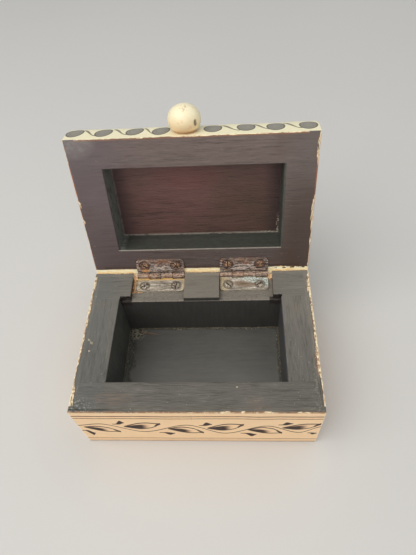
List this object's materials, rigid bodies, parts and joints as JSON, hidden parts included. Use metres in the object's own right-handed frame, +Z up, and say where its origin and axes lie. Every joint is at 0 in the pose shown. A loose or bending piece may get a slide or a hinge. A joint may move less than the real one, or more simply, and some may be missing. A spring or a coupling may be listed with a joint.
{
  "type": "bone trinket box",
  "caption": "Small wooden trinket box clad in drawn-on bone plates, with a rectangular well, a hollow hinged lid and a bone ball knob, standing open.",
  "frame": {"origin": "centre of the flat underside of the base, on the surface the box stands on", "axes": "+Z up, -Y towards the front (the side with the knob when the lid is shut), +X to the right seen from the front"},
  "size_m": [0.114, 0.1136, 0.1222],
  "materials": {
    "grey_painted_wood": "thin dark grey paint over wood grain, worn to bare wood at the edges",
    "brown_painted_wood": "thin brown-grey paint over wood grain",
    "red_stained_wood": "dark reddish-brown stain, fine grain",
    "bone": "polished bone, aged to a warm peach, with a drawn brown leaf scroll and border lines",
    "pale_bone": "polished cream bone with dark grey drawn ovals on the lid's edges",
    "rusty_steel": "old pressed steel with brown rust and patches of pale corrosion"
  },
  "bodies": {
    "base": {"base_front_rail": "grey_painted_wood", "base_back_rail": "grey_painted_wood", "base_left_rail": "grey_painted_wood", "base_right_rail": "grey_painted_wood", "base_floor": "grey_painted_wood", "base_front_bone_left": "bone", "base_front_bone_right": "bone", "base_back_bone_left": "bone", "base_back_bone_right": "bone", "base_left_bone": "bone", "base_right_bone": "bone", "left_hinge_lower_leaf": "rusty_steel", "left_hinge_pin": "rusty_steel", "left_hinge_lower_screw_left": "rusty_steel", "left_hinge_lower_screw_right": "rusty_steel", "right_hinge_lower_leaf": "rusty_steel", "right_hinge_pin": "rusty_steel", "right_hinge_lower_screw_left": "rusty_steel", "right_hinge_lower_screw_right": "rusty_steel"},
    "lid": {"lid_front_rail": "brown_painted_wood", "lid_back_rail": "brown_painted_wood", "lid_left_rail": "brown_painted_wood", "lid_right_rail": "brown_painted_wood", "lid_panel": "red_stained_wood", "lid_front_bone": "pale_bone", "lid_back_bone": "pale_bone", "lid_left_bone": "pale_bone", "lid_right_bone": "pale_bone", "lid_top_bone_front_left": "pale_bone", "lid_top_bone_front_right": "pale_bone", "lid_top_bone_back_left": "pale_bone", "lid_top_bone_back_right": "pale_bone", "knob_ball": "pale_bone", "knob_peg": "red_stained_wood", "left_hinge_upper_leaf": "rusty_steel", "left_hinge_upper_screw_left": "rusty_steel", "left_hinge_upper_screw_right": "rusty_steel", "right_hinge_upper_leaf": "rusty_steel", "right_hinge_upper_screw_left": "rusty_steel", "right_hinge_upper_screw_right": "rusty_steel"}
  },
  "joints": [
    {"name": "lid_hinge", "type": "hinge", "parent": "base", "child": "lid", "pos_m": [0, 0.0377, 0.0374], "axis": [1, 0, 0], "range_deg": [0, 104]}
  ]
}
